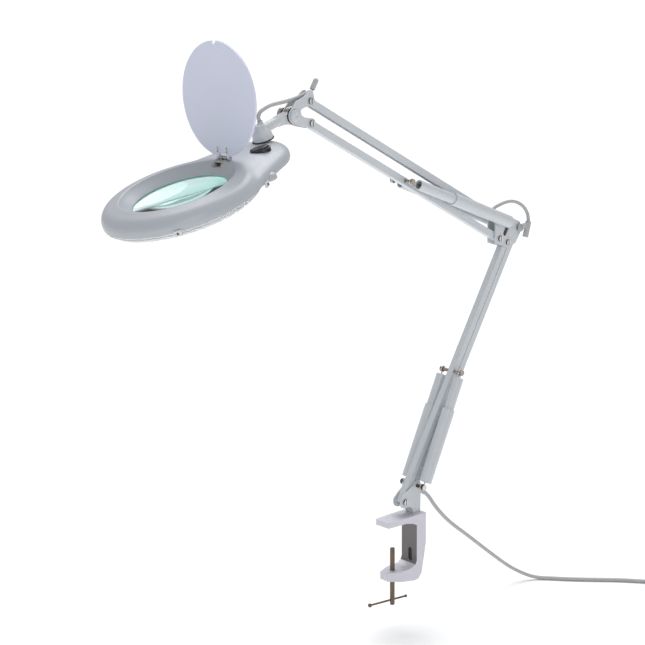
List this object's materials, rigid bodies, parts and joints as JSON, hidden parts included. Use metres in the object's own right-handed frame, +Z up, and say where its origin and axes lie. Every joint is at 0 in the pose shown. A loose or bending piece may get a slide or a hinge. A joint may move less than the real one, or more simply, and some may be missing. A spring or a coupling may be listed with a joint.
{
  "type": "magnifying lamp",
  "caption": "Bench magnifying lamp: round lens in a ring-lit head with a hinged lid, on a spring-balanced two-part parallelogram arm with a table clamp.",
  "frame": {"origin": "on the clamp screw's axis, on the underside of the top jaw, where the table top bears", "axes": "+Z up; the arm folds in the XZ plane and the lamp head is towards -X; -Y is the right side"},
  "size_m": [0.8837, 0.3926, 0.8195],
  "materials": {
    "clamp_paint": "gloss",
    "arm_paint": "satin",
    "stem_steel": "satin",
    "dark_steel": "satin",
    "bronzed_steel": "satin",
    "spring_steel": "bright",
    "nylon": "satin",
    "cord_jacket": "satin",
    "plug_plastic": "satin",
    "plug_brass": "bright",
    "tie_black": "matte",
    "shell_plastic": "satin",
    "lens_glass": "polished",
    "white_plastic": "satin",
    "tube_glass": "gloss",
    "clear_cover": "gloss",
    "ballast_case": "satin",
    "black_plastic": "gloss",
    "washer_rubber": "matte"
  },
  "bodies": {
    "clamp": {"clamp_frame": "clamp_paint", "swivel_bush": "nylon", "mains_cord": "cord_jacket", "mains_coil": "cord_jacket", "coil_tie": "tie_black", "plug_body": "plug_plastic", "plug_pins": "plug_brass"},
    "screw": {"clamp_screw": "bronzed_steel"},
    "tommy": {"tommy_bar": "bronzed_steel"},
    "yoke": {"base_yoke": "arm_paint", "yoke_bolts": "dark_steel", "yoke_washers": "nylon", "cord_strain_relief": "cord_jacket"},
    "lower_front": {"lower_front_bar": "arm_paint", "lower_spring_pin": "spring_steel", "lower_spring_eyes": "spring_steel"},
    "lower_rear": {"lower_rear_bar": "arm_paint", "lower_cable_run": "cord_jacket"},
    "lower_outer": {"lower_outer_covers": "arm_paint", "lower_spring_hooks": "spring_steel", "lower_springs": "spring_steel"},
    "lower_inner": {"lower_inner_covers": "arm_paint"},
    "elbow": {"elbow_bracket": "arm_paint", "elbow_bolts": "dark_steel", "elbow_washers": "nylon", "elbow_cord_clip": "cord_jacket", "elbow_cord": "cord_jacket"},
    "upper_bottom": {"upper_bottom_bar": "arm_paint", "upper_spring_pin": "spring_steel", "upper_spring_eyes": "spring_steel"},
    "upper_top": {"upper_top_bar": "arm_paint", "upper_cable_run": "cord_jacket"},
    "upper_outer": {"upper_outer_covers": "arm_paint", "upper_spring_hooks": "spring_steel", "upper_springs": "spring_steel"},
    "upper_inner": {"upper_inner_covers": "arm_paint"},
    "neck": {"head_bracket": "arm_paint", "head_bracket_bolts": "dark_steel", "head_bracket_washers": "nylon", "head_cord_sleeve": "cord_jacket", "head_cord": "cord_jacket", "tilt_bolt": "dark_steel", "tilt_washers": "washer_rubber"},
    "stem": {"head_stem": "stem_steel", "stem_ring_nut": "dark_steel"},
    "head": {"housing_shell": "shell_plastic", "neck_plate": "shell_plastic", "lens": "lens_glass", "lens_ring": "white_plastic", "reflector": "white_plastic", "ring_tube": "tube_glass", "tube_clips": "spring_steel", "ballast": "ballast_case", "diffuser_ring": "clear_cover", "diffuser_clips": "white_plastic", "switch_frame": "black_plastic", "lid_hinge_leaf": "spring_steel", "lid_hinge_pin": "spring_steel"},
    "switch": {"switch_rocker": "black_plastic"},
    "lid": {"lens_lid": "shell_plastic"}
  },
  "joints": [
    {"name": "base_swivel", "type": "hinge", "parent": "clamp", "child": "yoke", "pos_m": [0.041, 0, 0.008], "axis": [0, 0, 1], "range_deg": [-120, 120], "deforming": ["mains_cord"]},
    {"name": "screw_feed", "type": "slide", "parent": "clamp", "child": "screw", "axis": [0, 0, 1], "range_m": [-0.028, 0.022]},
    {"name": "tommy_bar_slide", "type": "slide", "parent": "screw", "child": "tommy", "axis": [0.989, -0.1478, 0], "range_m": [-0.016, 0.031]},
    {"name": "lower_arm_tilt", "type": "hinge", "parent": "yoke", "child": "lower_front", "pos_m": [0.0175, 0, 0.0285], "axis": [0, -1, 0], "range_deg": [0, 60]},
    {"name": "lower_rear_tilt", "type": "hinge", "parent": "yoke", "child": "lower_rear", "pos_m": [0.041, 0, 0.0475], "axis": [0, -1, 0], "range_deg": [0, 60]},
    {"name": "elbow_level", "type": "hinge", "parent": "lower_front", "child": "elbow", "pos_m": [0.22411, 0, 0.37101], "axis": [0, -1, 0], "range_deg": [-60, 0]},
    {"name": "lower_cover_tilt", "type": "hinge", "parent": "yoke", "child": "lower_outer", "pos_m": [0.041, 0, 0.0475], "axis": [0, -1, 0], "range_deg": [0, 66]},
    {"name": "lower_cover_slide", "type": "slide", "parent": "lower_outer", "child": "lower_inner", "axis": [0.4364, 0, 0.8998], "range_m": [0, 0.0246], "deforming": ["lower_springs"]},
    {"name": "upper_arm_tilt", "type": "hinge", "parent": "elbow", "child": "upper_bottom", "pos_m": [0.20741, 0, 0.37811], "axis": [0, -1, 0], "range_deg": [-28, 34]},
    {"name": "upper_top_tilt", "type": "hinge", "parent": "elbow", "child": "upper_top", "pos_m": [0.20601, 0, 0.40561], "axis": [0, -1, 0], "range_deg": [-28, 34], "deforming": ["elbow_cord"]},
    {"name": "head_level", "type": "hinge", "parent": "upper_bottom", "child": "neck", "pos_m": [-0.14867, 0, 0.56032], "axis": [0, -1, 0], "range_deg": [-34, 28]},
    {"name": "upper_cover_tilt", "type": "hinge", "parent": "elbow", "child": "upper_outer", "pos_m": [0.20601, 0, 0.40561], "axis": [0, -1, 0], "range_deg": [-30, 36]},
    {"name": "upper_cover_slide", "type": "slide", "parent": "upper_outer", "child": "upper_inner", "axis": [-0.9382, 0, 0.346], "range_m": [-0.0125, 0.015], "deforming": ["upper_springs"]},
    {"name": "head_tilt", "type": "hinge", "parent": "neck", "child": "stem", "pos_m": [-0.17567, 0, 0.57083], "axis": [0, -1, 0], "range_deg": [-35, 40], "deforming": ["head_cord"]},
    {"name": "head_swivel", "type": "hinge", "parent": "stem", "child": "head", "pos_m": [-0.22193, 0, 0.54576], "axis": [-0.3371, 0, 0.9415], "range_deg": [-55, 55]},
    {"name": "lid_hinge", "type": "hinge", "parent": "head", "child": "lid", "pos_m": [-0.2832, 0, 0.52701], "axis": [0, -1, 0], "range_deg": [-5, 105]},
    {"name": "switch_rock", "type": "hinge", "parent": "head", "child": "switch", "pos_m": [-0.24693, -0.026, 0.53251], "axis": [0.8313, 0.4695, 0.2976], "range_deg": [0, 16]}
  ],
  "couplings": [
    {"joint": "lower_rear_tilt", "follows": "lower_arm_tilt", "ratio": 1},
    {"joint": "elbow_level", "follows": "lower_arm_tilt", "ratio": -1},
    {"joint": "lower_cover_tilt", "follows": "lower_arm_tilt", "ratio": 1.099},
    {"joint": "lower_cover_slide", "follows": "lower_arm_tilt", "m_per_rad": 0.0225},
    {"joint": "upper_top_tilt", "follows": "upper_arm_tilt", "ratio": 1},
    {"joint": "head_level", "follows": "upper_arm_tilt", "ratio": -1},
    {"joint": "upper_cover_tilt", "follows": "upper_arm_tilt", "ratio": 1.047},
    {"joint": "upper_cover_slide", "follows": "upper_arm_tilt", "m_per_rad": 0.0245}
  ]
}
